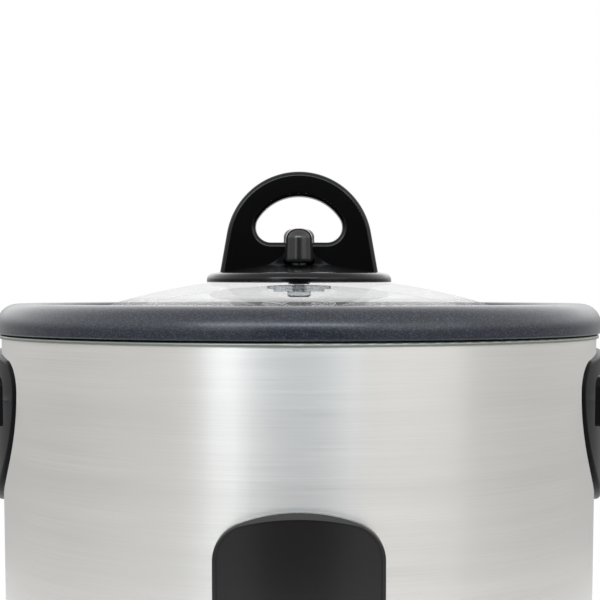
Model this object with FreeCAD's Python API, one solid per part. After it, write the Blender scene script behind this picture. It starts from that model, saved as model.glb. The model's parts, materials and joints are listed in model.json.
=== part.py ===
import FreeCAD
import Part
import math
import os

# A rice cooker: a brushed steel drum with a lift-out pot, a glass lid and a lever switch.
# Millimetres, +Z up, the control panel faces -Y, the origin lies on the table under the drum's axis.

V = FreeCAD.Vector
ORIGIN = V(0, 0, 0)
X_AXIS = V(1, 0, 0)
Y_AXIS = V(0, 1, 0)
Z_AXIS = V(0, 0, 1)

# Clearances
FIT = 0.1                # between pieces fixed to each other
RUN = 0.3                # between pieces that move past each other
PIN_FIT = 0.05           # round a pin or a screw shank
CUT_AHEAD = 30.0         # how far outside the drum a cut through its wall starts
CUT_RUN = 90.0           # how far such a cut runs in

# Drum
BODY_R = 137.8           # outside of the steel shell
SHELL_T = 0.8
JACKET_W = 20.0          # from the pot's inner wall out to the shell's outside

# Base
FOOT_H = 5.0
FOOT_R = 10.0
FOOT_COUNT = 4
FOOT_INSET = 14.0        # from the shell in to a foot's centre
FOOT_STUD_R = 3.0
TRAY_FLOOR_T = 3.0
TRAY_H = 15.0
TRAY_LIP_T = 1.4
TRAY_LIP_H = 4.0         # how deep the shell stands in the tray
TRAY_SHOULDER_W = 2.0
TRAY_EDGE_R = 5.0
TRAY_BOSS_R = 5.0
BOTTOM_SHEET_T = 0.8
BOTTOM_SLOT_COUNT = 18
BOTTOM_SLOT_W = 4.0
SCREW_R = 2.0
SCREW_HEAD_R = 4.0
SCREW_HEAD_H = 2.2
SCREW_LENGTH = 12.0

# Room for the works, liner and heating plate
WORKS_H = 36.0           # from the tray's floor up to the liner
LINER_T = 1.0
LINER_HOLE_R = 30.0
LINER_CORNER_R = 8.0
LINER_FLARE_H = 12.0
HEM_H = 1.7
PLATE_LEG_H = 8.0
PLATE_LEG_R = 6.0
PLATE_T = 13.0
HEATER_RING_INSET = 28.0 # from the heating plate's edge in to the heater's ring
HEATER_TUBE_R = 3.6
TERMINAL_R = 2.2
TERMINAL_DROP = 12.0
BUSH_R = 4.6
BUSH_H = 9.0
WARM_BAND_H = 28.0
WARM_BAND_T = 1.2
WARM_BAND_RISE = 40.0
FUSE_R = 2.4
FUSE_LENGTH = 16.0
FUSE_LEAD_R = 0.6
FUSE_LEAD_LENGTH = 7.0
FUSE_INSET = 45.0        # from the heating plate's edge in to the fuse

# Pot
POT_T = 2.0
POT_DEPTH = 126.2        # from the floor up to the lid's ledge
POT_CORNER_R = 30.0
POT_GAP = 5.0            # between the pot and the liner
LEDGE_W = 9.0
RECESS_DEPTH = 19.5      # from the ledge up to the rim's crest
RIM_H = 13.5
RIM_OVERHANG = 3.0       # past the shell
RIM_INNER_R = 4.0        # round where the rim rolls over from the recess
RIM_GAP = 0.4

# Lid
GLASS_BEND_R = 305.0     # outer face of the dome
GLASS_T = 4.0
BAND_T = 0.6
BAND_LIP_W = 5.0
LID_CLEARANCE = 1.2
FLANGE_R = 43.4
FLANGE_EDGE_H = 0.9      # heights on the lid are above the crown of the glass
FLANGE_RISE = 5.6        # the flange's top climbs this much towards the post
FLANGE_ROUND = 3.2
HANDLE_GAP = 0.4
POST_R = 7.2
POST_H = 22.1
POST_FLARE_R = 13.0
POST_ROUND = 3.6
WEB_T = 12.0
WEB_ROUND = 2.2
GRIP_R = 34.2            # outside of the loop
GRIP_CENTRE_H = 14.4
GRIP_FOOT_W = 74.8
FINGER_R = 22.9          # finger hole in the loop
FINGER_CENTRE_H = 14.3
FINGER_FLOOR_H = 15.8
FINGER_CORNER_R = 7.2
KNOB_R = 6.7             # vent knob in front of the post
KNOB_TOP_R = 6.1
KNOB_FORWARD = 11.0
KNOB_BASE_H = 5.9
KNOB_TOP_H = 22.0
KNOB_NECK_R = 4.0
KNOB_STEM_R = 2.5
NICHE_GAP = 0.5
NICHE_FLOOR_H = 4.7
GASKET_R = 21.0
GASKET_T = 1.4
SPIGOT_R = 5.0
UNDER_GASKET_R = 15.0
WASHER_R = 12.0
WASHER_T = 1.2
CLAMP_SCREW_R = 2.4
CLAMP_HEAD_R = 5.5
CLAMP_HEAD_H = 2.6
CLAMP_LENGTH = 17.0

# Side handles
HANDLE_DROP = 20.8       # from the rim's crest down to the plate's top
HANDLE_PLATE_W = 131.2
HANDLE_PLATE_ARCH_R = 400.0 # bow of the plate's top edge
HANDLE_PLATE_CORNER_R = 13.0
HANDLE_PLATE_DOWN = 55.0 # from the plate's widest level down to its foot
HANDLE_PLATE_T = 3.2
HANDLE_PLATE_ROUND = 1.6
EAR_W = 106.0
EAR_TAPER = 9.0
EAR_REACH = 34.0
EAR_H = 22.4
EAR_DROP = 54.0          # from the rim's crest down to the ear's underside
EAR_TIP_R = 20.0
EAR_ROUND = 5.0
EAR_SIDE_WALL = 7.0
EAR_TIP_WALL = 5.0
EAR_ROOF_T = 6.0

# Control panel
PANEL_DROP = 78.5        # from the rim's crest down to the panel's top
PANEL_FOOT_GAP = 7.0     # from the tray's top edge up to the panel's foot
PANEL_W = 66.8
PANEL_T = 5.0
PANEL_ARCH_R = 65.0      # bow of the panel's top edge
PANEL_CORNER_R = 16.0
PANEL_FOOT_CORNER_R = 12.0
PANEL_ROUND = 1.0
PANEL_BROW_H = 2.3       # sloping brow along the panel's top
PANEL_BROW_R = 80.0
PANEL_FACE_ARCH_R = 85.0 # bow of the face's top edge, under the brow
PANEL_FRAME_W = 1.6
PANEL_LEDGE_W = 1.6
PANEL_LEDGE_T = 1.8
PANEL_FACE_SINK = 0.3
WINDOW_W = 48.0
LENS_R = 3.6
LENS_PITCH = 24.0
LENS_RISE = 38.0         # above the lever knob
LENS_FLANGE_W = 1.2
LENS_PROUD = 1.0
LAMP_R = 2.4
LAMP_LENGTH = 11.0
BOARD_W = 44.0
BOARD_H = 17.0
BOARD_T = 1.2
BOARD_BACK = 8.5         # from the shell's outside in to the board's front
BOARD_POST_R = 2.0

# Lever switch
LEVER_ANGLE = 6.0        # degrees from off to cook
PIVOT_INSET = 65.0       # from the shell's outside in to the lever's pivot
ARM_T = 1.5
ARM_W = 10.0
ARM_DROP = 7.3           # from the liner down to the arm's top
ARM_FRONT_GAP = 4.5
ARM_UPRIGHT_H = 17.0
KNUCKLE_R = 3.0
LEVER_PIN_R = 1.5
EAR_PLATE_T = 1.5
FORK_W = 16.0
FORK_TIP = 3.0
FORK_SLOT_GAP = 1.0
LEVER_KNOB_RISE = 13.3   # from the arm's top up to the knob's middle
LEVER_NECK_W = 14.0
LEVER_NECK_H = 8.0
LEVER_PADDLE_W = 27.0
LEVER_PADDLE_H = 12.0
LEVER_PADDLE_T = 6.5
LEVER_PADDLE_GAP = 1.6
CONTACT_BLOCK_W = 18.0
CONTACT_BLOCK_D = 16.0
CONTACT_BLOCK_H = 7.0
CONTACT_SIDE = 12.0
LEAF_T = 0.4
LEAF_W = 6.0

# Sensor in the middle of the heating plate
SENSOR_R = 15.0
SENSOR_T = 0.8
SENSOR_TOP_T = 1.2
SENSOR_ROUND = 1.0
SENSOR_SKIRT_H = 12.0
SENSOR_GAP = 0.4
SENSOR_TRAVEL = 1.5
FERRITE_T = 6.0
FERRITE_R = 13.4
MAGNET_R = 9.5
MAGNET_T = 5.0
SLEEVE_T = 1.2
SLEEVE_BELOW_TOP = 6.0
SLEEVE_LIP_GAP = 2.0     # round the magnet, where the sleeve's foot turns in
ROD_R = 2.5
ROD_BELOW_ARM = 12.0
COLLAR_R = 6.0
COLLAR_T = 2.0
SENSOR_COIL_R = 12.2
SENSOR_WIRE_R = 0.7
RELEASE_COIL_R = 6.0
RELEASE_WIRE_R = 0.5
COIL_TURNS = 5

# Power inlet at the back
INLET_DROP = 11.0        # from the liner down to the inlet's middle
INLET_W = 30.0
INLET_H = 21.0
INLET_CORNER_R = 4.0
INLET_PROUD = 9.0
INLET_DEPTH = 25.0       # inside the shell
INLET_CAVITY_W = 24.4
INLET_CAVITY_H = 16.6
INLET_CAVITY_DEPTH = 18.0
INLET_BEVEL = 5.0
INLET_FLANGE_W = 50.0
INLET_FLANGE_T = 3.0
INLET_SCREW_PITCH = 40.0
BLADE_W = 2.0
BLADE_H = 4.0
BLADE_PITCH = 14.0
BLADE_STAGGER = 4.0
BLADE_SINK = 5.0
BLADE_TAIL = 8.0

# Heights from the table up
TRAY_Z = FOOT_H
TRAY_FLOOR_Z = TRAY_Z + TRAY_FLOOR_T
TRAY_TOP_Z = TRAY_Z + TRAY_H
SHELL_Z = TRAY_TOP_Z - TRAY_LIP_H
LINER_Z = TRAY_FLOOR_Z + WORKS_H
LINER_FLOOR_Z = LINER_Z + LINER_T
PLATE_Z = LINER_FLOOR_Z + PLATE_LEG_H
PLATE_TOP_Z = PLATE_Z + PLATE_T
POT_Z = PLATE_TOP_Z + RUN
POT_FLOOR_Z = POT_Z + POT_T
LEDGE_Z = POT_FLOOR_Z + POT_DEPTH
CREST_Z = LEDGE_Z + RECESS_DEPTH
RIM_Z = CREST_Z - RIM_H
HEM_Z = RIM_Z - RIM_GAP
SHELL_TOP_Z = HEM_Z - LINER_T - FIT
HANDLE_TOP_Z = CREST_Z - HANDLE_DROP
EAR_Z = CREST_Z - EAR_DROP
PANEL_TOP_Z = CREST_Z - PANEL_DROP
PANEL_FACE_TOP_Z = PANEL_TOP_Z - PANEL_BROW_H - 0.2
PANEL_Z = TRAY_TOP_Z + PANEL_FOOT_GAP
INLET_Z = LINER_Z - INLET_DROP

# Radii from the axis out
FOOT_CIRCLE_R = BODY_R - FOOT_INSET
SCREW_CIRCLE_R = FOOT_CIRCLE_R - FOOT_R - SCREW_HEAD_R - 3.0
TRAY_OPENING_R = SCREW_CIRCLE_R - TRAY_BOSS_R - 4.0
SHELL_IN_R = BODY_R - SHELL_T
POT_R = BODY_R - JACKET_W
POT_OUT_R = POT_R + POT_T
RECESS_R = POT_R + LEDGE_W
RIM_R = BODY_R + RIM_OVERHANG
RIM_SHOULDER_R = RIM_R - RECESS_R - RIM_INNER_R - 0.4
PLATE_R = POT_R - POT_CORNER_R
HEATER_RING_R = PLATE_R - HEATER_RING_INSET
PIVOT_FORWARD = BODY_R - PIVOT_INSET
LINER_R = POT_OUT_R + POT_GAP
LINER_TOP_R = RECESS_R + POT_T + 3.0
LINER_OUT_R = LINER_R + LINER_T
SLEEVE_R = SENSOR_R + RUN + SLEEVE_T
SLEEVE_FLANGE_R = LINER_HOLE_R + 8.0

# The lid's dome, set so that its band rests on the pot's ledge
BAND_Z = LEDGE_Z + RUN
BAND_R = RECESS_R - LID_CLEARANCE
GLASS_EDGE_R = BAND_R - BAND_T - FIT
GLASS_IN_R = GLASS_BEND_R - GLASS_T
DOME_Z = BAND_Z + BAND_T + FIT - math.sqrt(GLASS_IN_R ** 2 - GLASS_EDGE_R ** 2)
CROWN_Z = DOME_Z + GLASS_BEND_R
UNDER_CROWN_Z = DOME_Z + GLASS_IN_R

# Lever, rod and magnet, as they stand with the switch off
ARM_TOP_Z = LINER_Z - ARM_DROP
ARM_Z = ARM_TOP_Z - ARM_T
PIVOT_Y = -PIVOT_FORWARD
PIVOT_Z = ARM_Z - 2.0
LIFT_REACH = PIVOT_FORWARD + FORK_TIP + 1.0
MAGNET_LIFT = LIFT_REACH * math.radians(LEVER_ANGLE)
SENSOR_TOP_Z = POT_Z - SENSOR_GAP
FERRITE_TOP_Z = SENSOR_TOP_Z - SENSOR_TOP_T
FERRITE_Z = FERRITE_TOP_Z - FERRITE_T
MAGNET_TOP_Z = FERRITE_Z - SENSOR_TRAVEL - RUN - MAGNET_LIFT
MAGNET_Z = MAGNET_TOP_Z - MAGNET_T
COLLAR_Z = ARM_TOP_Z + RUN
ARM_FRONT_Y = -(SHELL_IN_R - ARM_FRONT_GAP)
LEVER_KNOB_Z = ARM_TOP_Z + LEVER_KNOB_RISE
PADDLE_BACK_Y = -(BODY_R + PANEL_T + LEVER_PADDLE_GAP)
NECK_DROP = (BODY_R + PANEL_T - PIVOT_FORWARD) * math.sin(math.radians(LEVER_ANGLE))
LENS_Z = LEVER_KNOB_Z + LENS_RISE
PANEL_FACE_R = BODY_R + PANEL_T - PANEL_FACE_SINK
PANEL_BACK_R = BODY_R + PANEL_LEDGE_T


# Ways to place a flat outline in space
def profile(p):
    return V(p.x, 0, p.y)


def front(p):
    return V(p.x, -(BODY_R + CUT_AHEAD), p.y)


def back(p):
    return V(p.x, BODY_R + CUT_AHEAD, p.y)


def level(z):
    return lambda p: V(p.x, p.y, z)


# A closed wire through corners (u, v) or (u, v, radius), with the corners rounded
def rounded_wire(corners, place):
    stops = []
    count = len(corners)
    for i, corner in enumerate(corners):
        here = V(corner[0], corner[1], 0)
        radius = corner[2] if len(corner) > 2 else 0
        if radius <= 0:
            stops.append((here, None, here))
            continue
        before = corners[i - 1]
        after = corners[(i + 1) % count]
        back_way = (V(before[0], before[1], 0) - here).normalize()
        on_way = (V(after[0], after[1], 0) - here).normalize()
        half = back_way.getAngle(on_way) / 2
        reach = radius / math.tan(half)
        inward = (back_way + on_way).normalize()
        middle = here + inward * (radius / math.sin(half) - radius)
        stops.append((here + back_way * reach, middle, here + on_way * reach))
    edges = []
    for i, (enter, middle, leave) in enumerate(stops):
        if middle is not None:
            edges.append(Part.Arc(place(enter), place(middle), place(leave)).toShape())
        following = stops[(i + 1) % count][0]
        if (following - leave).Length > 1e-6:
            edges.append(Part.makeLine(place(leave), place(following)))
    return Part.Wire(edges)


def bend(x, z, radius, start, end, place):
    angles = (start, (start + end) / 2, end)
    points = [place(V(x + radius * math.cos(a), z + radius * math.sin(a), 0)) for a in angles]
    return Part.Arc(*points).toShape()


# Two corners and the bowed top between them, and the height at which the sides begin
def arched_top(half, top, arch_r, corner_r, place):
    arch_z = top - arch_r
    corner_x = half - corner_r
    corner_z = arch_z + math.sqrt((arch_r - corner_r) ** 2 - corner_x ** 2)
    lean = math.atan2(corner_z - arch_z, corner_x)
    bends = [
        bend(corner_x, corner_z, corner_r, 0, lean, place),
        bend(0, arch_z, arch_r, lean, math.pi - lean, place),
        bend(-corner_x, corner_z, corner_r, math.pi - lean, math.pi, place)]
    return bends, corner_z


def revolve(corners):
    return Part.Face(rounded_wire(corners, profile)).revolve(ORIGIN, Z_AXIS, 360)


def prism(corners, place, run):
    return Part.Face(rounded_wire(corners, place)).extrude(run)


def front_prism(corners):
    return prism(corners, front, V(0, CUT_RUN, 0))


def back_prism(corners):
    return prism(corners, back, V(0, -CUT_RUN, 0))


def tube(outer, inner, low, high):
    outside = Part.makeCylinder(outer, high - low, V(0, 0, low))
    return outside.cut(Part.makeCylinder(inner, high - low + 2, V(0, 0, low - 1)))


def box(x0, x1, y0, y1, z0, z1):
    return Part.makeBox(x1 - x0, y1 - y0, z1 - z0, V(x0, y0, z0))


def rectangle(width, height, middle, radius):
    half = width / 2
    low = middle - height / 2
    high = middle + height / 2
    return [(-half, low, radius), (half, low, radius), (half, high, radius), (-half, high, radius)]


def around(shape, angle):
    turned = shape.copy()
    turned.rotate(ORIGIN, Z_AXIS, angle)
    return turned


def around_all(shape, count, first):
    return [around(shape, first + i * 360.0 / count) for i in range(count)]


def ring_of_holes(shape, cutter, count, first):
    for hole in around_all(cutter, count, first):
        shape = shape.cut(hole)
    return shape


# Edges whose ends and middle all pass a test
def edges_where(shape, test):
    found = []
    for edge in shape.Edges:
        first, last = edge.ParameterRange
        points = [edge.valueAt(first + (last - first) * share) for share in (0.02, 0.5, 0.98)]
        if all(test(p) for p in points):
            found.append(edge)
    return found


def on_radius(radius):
    return lambda p: abs(math.hypot(p.x, p.y) - radius) < 0.01


def pan_screw(shank_r, length, head_r, head_h):
    # The head's seat lies at z = 0 and the shank points up
    return revolve([(0, -head_h), (head_r, -head_h, head_h * 0.6), (head_r, 0), (shank_r, 0),
                    (shank_r, length, shank_r * 0.4), (0, length)])


# Half of the profile arc of a sphere round the dome's centre
def dome_arc(radius, start, end):
    def point(r):
        return V(r, 0, DOME_Z + math.sqrt(radius ** 2 - r ** 2))
    return Part.Arc(point(start), point((start + end) / 2), point(end)).toShape()


def dome_ring(outer, inner, start, end):
    top = dome_arc(outer, start, end)
    under = dome_arc(inner, start, end)
    sides = [Part.makeLine(top.Vertexes[i].Point, under.Vertexes[i].Point) for i in (0, 1)]
    outline = Part.Wire(Part.__sortEdges__([top, under] + sides))
    return Part.Face(outline).revolve(ORIGIN, Z_AXIS, 360)


# Lid
def lid_glass():
    return dome_ring(GLASS_BEND_R, GLASS_IN_R, SPIGOT_R + RUN, GLASS_EDGE_R)


def lid_band():
    lip = dome_ring(GLASS_BEND_R + FIT + BAND_T, GLASS_BEND_R + FIT, BAND_R - BAND_LIP_W, BAND_R - BAND_T / 2)
    top = DOME_Z + math.sqrt((GLASS_BEND_R + FIT + BAND_T / 2) ** 2 - BAND_R ** 2)
    hoop = revolve([(BAND_R - BAND_LIP_W, BAND_Z), (BAND_R, BAND_Z, BAND_T), (BAND_R, top),
                    (BAND_R - BAND_T, top), (BAND_R - BAND_T, BAND_Z + BAND_T),
                    (BAND_R - BAND_LIP_W, BAND_Z + BAND_T)])
    return hoop.fuse(lip).removeSplitter()


# The upright loop of the lid's handle, with its finger hole
def handle_web():
    centre = CROWN_Z + GRIP_CENTRE_H
    foot_z = CROWN_Z - HANDLE_GAP
    half = GRIP_FOOT_W / 2
    far = math.hypot(half, foot_z - centre)
    angle = math.atan2(foot_z - centre, half) + math.acos(GRIP_R / far)
    side_x = GRIP_R * math.cos(angle)
    side_z = centre + GRIP_R * math.sin(angle)
    y = -WEB_T / 2
    left_foot = V(-half, y, foot_z)
    left_side = V(-side_x, y, side_z)
    right_side = V(side_x, y, side_z)
    right_foot = V(half, y, foot_z)
    outline = Part.Wire([
        Part.makeLine(left_foot, left_side),
        Part.Arc(left_side, V(0, y, centre + GRIP_R), right_side).toShape(),
        Part.makeLine(right_side, right_foot),
        Part.makeLine(right_foot, left_foot)])
    web = Part.Face(outline).extrude(V(0, WEB_T, 0))
    floor_z = CROWN_Z + FINGER_FLOOR_H
    hole = Part.makeCylinder(FINGER_R, WEB_T + 4, V(0, y - 2, CROWN_Z + FINGER_CENTRE_H), Y_AXIS)
    hole = hole.common(box(-FINGER_R, FINGER_R, y - 3, -y + 3, floor_z, floor_z + 2 * FINGER_R))
    corners = edges_where(hole, lambda p: abs(p.z - floor_z) < 0.01 and abs(p.x) > FINGER_R / 2)
    corners = [edge for edge in corners if edge.Length > WEB_T]
    web = web.cut(hole.makeFillet(FINGER_CORNER_R, corners))
    rims = edges_where(web, lambda p: abs(abs(p.y) - WEB_T / 2) < 0.01 and p.z > foot_z + 0.1)
    return web.makeFillet(WEB_ROUND, rims)


def lid_handle():
    base = revolve([
        (0, CROWN_Z - 8),
        (FLANGE_R, CROWN_Z - 8),
        (FLANGE_R, CROWN_Z + FLANGE_EDGE_H, FLANGE_ROUND),
        (POST_R, CROWN_Z + FLANGE_EDGE_H + FLANGE_RISE, POST_FLARE_R),
        (POST_R, CROWN_Z + POST_H, POST_ROUND),
        (0, CROWN_Z + POST_H)])
    handle = base.fuse(handle_web())
    handle = handle.cut(Part.makeSphere(GLASS_BEND_R + HANDLE_GAP, V(0, 0, DOME_Z)))
    recess = Part.makeSphere(GLASS_BEND_R + GASKET_T + 2 * FIT, V(0, 0, DOME_Z))
    handle = handle.cut(recess.common(Part.makeCylinder(GASKET_R + FIT, 40, V(0, 0, CROWN_Z - 20))))
    niche = Part.makeCylinder(KNOB_R + NICHE_GAP, POST_H, V(0, -KNOB_FORWARD, CROWN_Z + NICHE_FLOOR_H))
    stem_bore = Part.makeCylinder(KNOB_STEM_R + PIN_FIT, 20, V(0, -KNOB_FORWARD, CROWN_Z - 10))
    handle = handle.cut(niche).cut(stem_bore)
    spigot_z = UNDER_CROWN_Z + RUN
    spigot = Part.makeCylinder(SPIGOT_R, CROWN_Z + GASKET_T + 1 - spigot_z, V(0, 0, spigot_z))
    handle = handle.fuse(spigot)
    bore = Part.makeCylinder(CLAMP_SCREW_R + PIN_FIT, CLAMP_LENGTH, V(0, 0, spigot_z - 2))
    return handle.cut(bore).removeSplitter()


def handle_gasket():
    ring = dome_ring(GLASS_BEND_R + FIT + GASKET_T, GLASS_BEND_R + FIT, SPIGOT_R + FIT, GASKET_R)
    hole = Part.makeCylinder(KNOB_STEM_R + RUN, 20, V(0, -KNOB_FORWARD, CROWN_Z - 10))
    return ring.cut(hole)


def under_gasket():
    flat_z = UNDER_CROWN_Z - 2.0
    ring = dome_ring(GLASS_IN_R - FIT, GLASS_IN_R - 6.0, CLAMP_SCREW_R + RUN, UNDER_GASKET_R)
    return ring.cut(Part.makeCylinder(UNDER_GASKET_R + 1, 8, V(0, 0, flat_z - 8)))


def clamp_washer():
    flat_z = UNDER_CROWN_Z - 2.0
    return tube(WASHER_R, CLAMP_SCREW_R + RUN, flat_z - WASHER_T, flat_z)


def clamp_screw():
    screw = pan_screw(CLAMP_SCREW_R, CLAMP_LENGTH - 0.5, CLAMP_HEAD_R, CLAMP_HEAD_H)
    screw.translate(V(0, 0, UNDER_CROWN_Z - 2.0 - WASHER_T))
    return screw


def vent_knob():
    floor_z = CROWN_Z + NICHE_FLOOR_H + RUN
    knob = revolve([
        (0, CROWN_Z + NICHE_FLOOR_H - 2.4),
        (KNOB_STEM_R, CROWN_Z + NICHE_FLOOR_H - 2.4),
        (KNOB_STEM_R, floor_z),
        (KNOB_NECK_R, floor_z),
        (KNOB_NECK_R, CROWN_Z + KNOB_BASE_H),
        (KNOB_R, CROWN_Z + KNOB_BASE_H, 2.0),
        (KNOB_TOP_R, CROWN_Z + KNOB_TOP_H, 5.0),
        (0, CROWN_Z + KNOB_TOP_H)])
    knob.translate(V(0, -KNOB_FORWARD, 0))
    return knob


# Pot: one sheet bent from the floor through the lid's ledge to the rolled rim
def inner_pot():
    return revolve([
        (0, POT_FLOOR_Z),
        (POT_R, POT_FLOOR_Z, POT_CORNER_R),
        (POT_R, LEDGE_Z, 2.0),
        (RECESS_R, LEDGE_Z, LID_CLEARANCE - 0.2),
        (RECESS_R, CREST_Z, RIM_INNER_R),
        (RIM_R, CREST_Z, RIM_SHOULDER_R),
        (RIM_R - 0.6, RIM_Z, 1.0),
        (RIM_R - 0.6 - POT_T, RIM_Z),
        (RIM_R - POT_T, CREST_Z - POT_T, RIM_SHOULDER_R - POT_T),
        (RECESS_R + POT_T, CREST_Z - POT_T, RIM_INNER_R - POT_T),
        (RECESS_R + POT_T, LEDGE_Z - POT_T, 3.0 + POT_T),
        (POT_OUT_R, LEDGE_Z - POT_T, 1.0),
        (POT_OUT_R, POT_Z, POT_CORNER_R + POT_T),
        (0, POT_Z)])


# Drum
# Two screws a handle, square to the drum's wall, in the thick ends of its ear
def handle_screw_turns():
    lean = math.degrees(math.asin((EAR_W / 2 - EAR_SIDE_WALL - SCREW_R) / BODY_R))
    return [middle + turn for middle in (0, 180) for turn in (-lean, lean)]


def screw_holes_for_handles(radius):
    hole = Part.makeCylinder(radius, SCREW_LENGTH + 20, V(BODY_R - 20, 0, EAR_Z + EAR_H / 2), X_AXIS)
    return [around(hole, turn) for turn in handle_screw_turns()]


def outer_shell():
    shell = tube(BODY_R, SHELL_IN_R, SHELL_Z, SHELL_TOP_Z)
    low = LEVER_KNOB_Z - LEVER_NECK_H / 2 - NECK_DROP - 3
    high = LENS_Z + BOARD_H / 2 + 2
    shell = shell.cut(front_prism(rectangle(WINDOW_W, high - low, (low + high) / 2, 4.0)))
    inlet = rectangle(INLET_W + 2 * RUN, INLET_H + 2 * RUN, INLET_Z, INLET_CORNER_R)
    shell = shell.cut(back_prism(inlet))
    for x in (-INLET_SCREW_PITCH / 2, INLET_SCREW_PITCH / 2):
        shell = shell.cut(Part.makeCylinder(SCREW_R + FIT, 60, V(x, BODY_R - 40, INLET_Z), Y_AXIS))
    for hole in screw_holes_for_handles(SCREW_R + FIT):
        shell = shell.cut(hole)
    return shell


def inner_liner():
    hem_r = BODY_R + FIT + LINER_T
    flare_top = LEDGE_Z - POT_T - LINER_FLARE_H
    flare_low = flare_top - LINER_FLARE_H
    lean = math.atan2(LINER_TOP_R - LINER_R, LINER_FLARE_H)
    shift = LINER_T * math.tan(lean / 2)
    liner = revolve([
        (LINER_HOLE_R, LINER_FLOOR_Z),
        (LINER_R, LINER_FLOOR_Z, LINER_CORNER_R),
        (LINER_R, flare_low, 8.0),
        (LINER_TOP_R, flare_top, 8.0),
        (LINER_TOP_R, HEM_Z, 1.0),
        (hem_r, HEM_Z, 1.0),
        (hem_r, HEM_Z - HEM_H, 0.4),
        (hem_r - LINER_T, HEM_Z - HEM_H),
        (hem_r - LINER_T, HEM_Z - LINER_T),
        (LINER_TOP_R + LINER_T, HEM_Z - LINER_T),
        (LINER_TOP_R + LINER_T, flare_top - shift, 8.0),
        (LINER_OUT_R, flare_low - shift, 8.0),
        (LINER_OUT_R, LINER_Z, LINER_CORNER_R + LINER_T),
        (LINER_HOLE_R, LINER_Z)])
    bolt = Part.makeCylinder(SCREW_R + FIT, 20, V(SCREW_CIRCLE_R, 0, LINER_Z - 10))
    liner = ring_of_holes(liner, bolt, FOOT_COUNT, 45)
    for x, y in terminal_places():
        liner = liner.cut(Part.makeCylinder(BUSH_R + FIT, 20, V(x, y, LINER_Z - 10)))
    return liner


def base_tray():
    tray_r = BODY_R + FIT + TRAY_LIP_T
    wall_r = SHELL_IN_R - TRAY_SHOULDER_W
    tray = revolve([
        (TRAY_OPENING_R, TRAY_Z),
        (tray_r, TRAY_Z, TRAY_EDGE_R),
        (tray_r, TRAY_TOP_Z, 0.6),
        (BODY_R + FIT, TRAY_TOP_Z),
        (BODY_R + FIT, SHELL_Z),
        (wall_r, SHELL_Z),
        (wall_r, TRAY_FLOOR_Z, 2.0),
        (TRAY_OPENING_R, TRAY_FLOOR_Z)])
    boss = Part.makeCylinder(TRAY_BOSS_R, LINER_Z - TRAY_Z, V(SCREW_CIRCLE_R, 0, TRAY_Z))
    for post in around_all(boss, FOOT_COUNT, 45):
        tray = tray.fuse(post)
    hole = Part.makeCylinder(SCREW_R + PIN_FIT, WORKS_H + 20, V(SCREW_CIRCLE_R, 0, TRAY_Z - 5))
    tray = ring_of_holes(tray, hole, FOOT_COUNT, 45)
    stud = Part.makeCylinder(FOOT_STUD_R + FIT, 20, V(FOOT_CIRCLE_R, 0, TRAY_Z - 5))
    return ring_of_holes(tray, stud, FOOT_COUNT, 45).removeSplitter()


def bottom_plate():
    plate_r = SCREW_CIRCLE_R + SCREW_HEAD_R + 1.5
    plate = Part.makeCylinder(plate_r, BOTTOM_SHEET_T, V(0, 0, TRAY_Z - BOTTOM_SHEET_T))
    half = BOTTOM_SLOT_W / 2
    rim = TRAY_OPENING_R - 8
    slots = [(rim - 30, -half, half * 0.98), (rim, -half, half * 0.98),
             (rim, half, half * 0.98), (rim - 30, half, half * 0.98)]
    plate = ring_of_holes(plate, prism(slots, level(0), V(0, 0, 20)), BOTTOM_SLOT_COUNT, 0)
    hole = Part.makeCylinder(SCREW_R + FIT, 20, V(SCREW_CIRCLE_R, 0, 0))
    return ring_of_holes(plate, hole, FOOT_COUNT, 45)


def feet():
    foot = revolve([
        (0, 0),
        (FOOT_R - 1, 0, 1.0),
        (FOOT_R, TRAY_Z),
        (FOOT_STUD_R, TRAY_Z),
        (FOOT_STUD_R, TRAY_FLOOR_Z, 0.8),
        (0, TRAY_FLOOR_Z)])
    foot.translate(V(FOOT_CIRCLE_R, 0, 0))
    return Part.makeCompound(around_all(foot, FOOT_COUNT, 45))


def bottom_screws():
    screw = pan_screw(SCREW_R, SCREW_LENGTH, SCREW_HEAD_R, SCREW_HEAD_H)
    screw.translate(V(SCREW_CIRCLE_R, 0, TRAY_Z - BOTTOM_SHEET_T))
    return Part.makeCompound(around_all(screw, FOOT_COUNT, 45))


def liner_screws():
    screw = pan_screw(SCREW_R, SCREW_LENGTH, SCREW_HEAD_R, SCREW_HEAD_H)
    screw.rotate(ORIGIN, X_AXIS, 180)
    screw.translate(V(SCREW_CIRCLE_R, 0, LINER_FLOOR_Z))
    return Part.makeCompound(around_all(screw, FOOT_COUNT, 45))


# Side handle on the +X side: a plate that hugs the drum and a hollow ear, moulded in one
def side_handle():
    half = HANDLE_PLATE_W / 2

    def upright(p):
        return V(BODY_R * 0.8, p.x, p.y)

    top, widest_z = arched_top(half, HANDLE_TOP_Z, HANDLE_PLATE_ARCH_R, HANDLE_PLATE_CORNER_R, upright)
    centre = upright(V(0, widest_z, 0))
    side = centre + V(0, half, 0)
    foot = centre - V(0, 0, HANDLE_PLATE_DOWN)
    oval = Part.Ellipse(side, foot, centre)
    start = oval.parameter(side)
    halves = [Part.Arc(oval, start + turn, start + turn + math.pi).toShape() for turn in (0, math.pi)]
    lower = min(halves, key=lambda arc: arc.CenterOfMass.z)
    plate = Part.Face(Part.Wire(Part.__sortEdges__(top + [lower]))).extrude(V(80, 0, 0))
    low = widest_z - HANDLE_PLATE_DOWN - 5
    high = HANDLE_TOP_Z + 5
    # The hoop is turned so that the seam of its surface lies on the far side
    hoop = around(tube(BODY_R + HANDLE_PLATE_T, BODY_R + FIT, low, high), 180)
    plate = plate.common(hoop)
    rim = edges_where(plate, on_radius(BODY_R + HANDLE_PLATE_T))
    plate = plate.makeFillet(HANDLE_PLATE_ROUND, rim)
    ear = hollow_ear()
    return plate.fuse(ear).removeSplitter()


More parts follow.
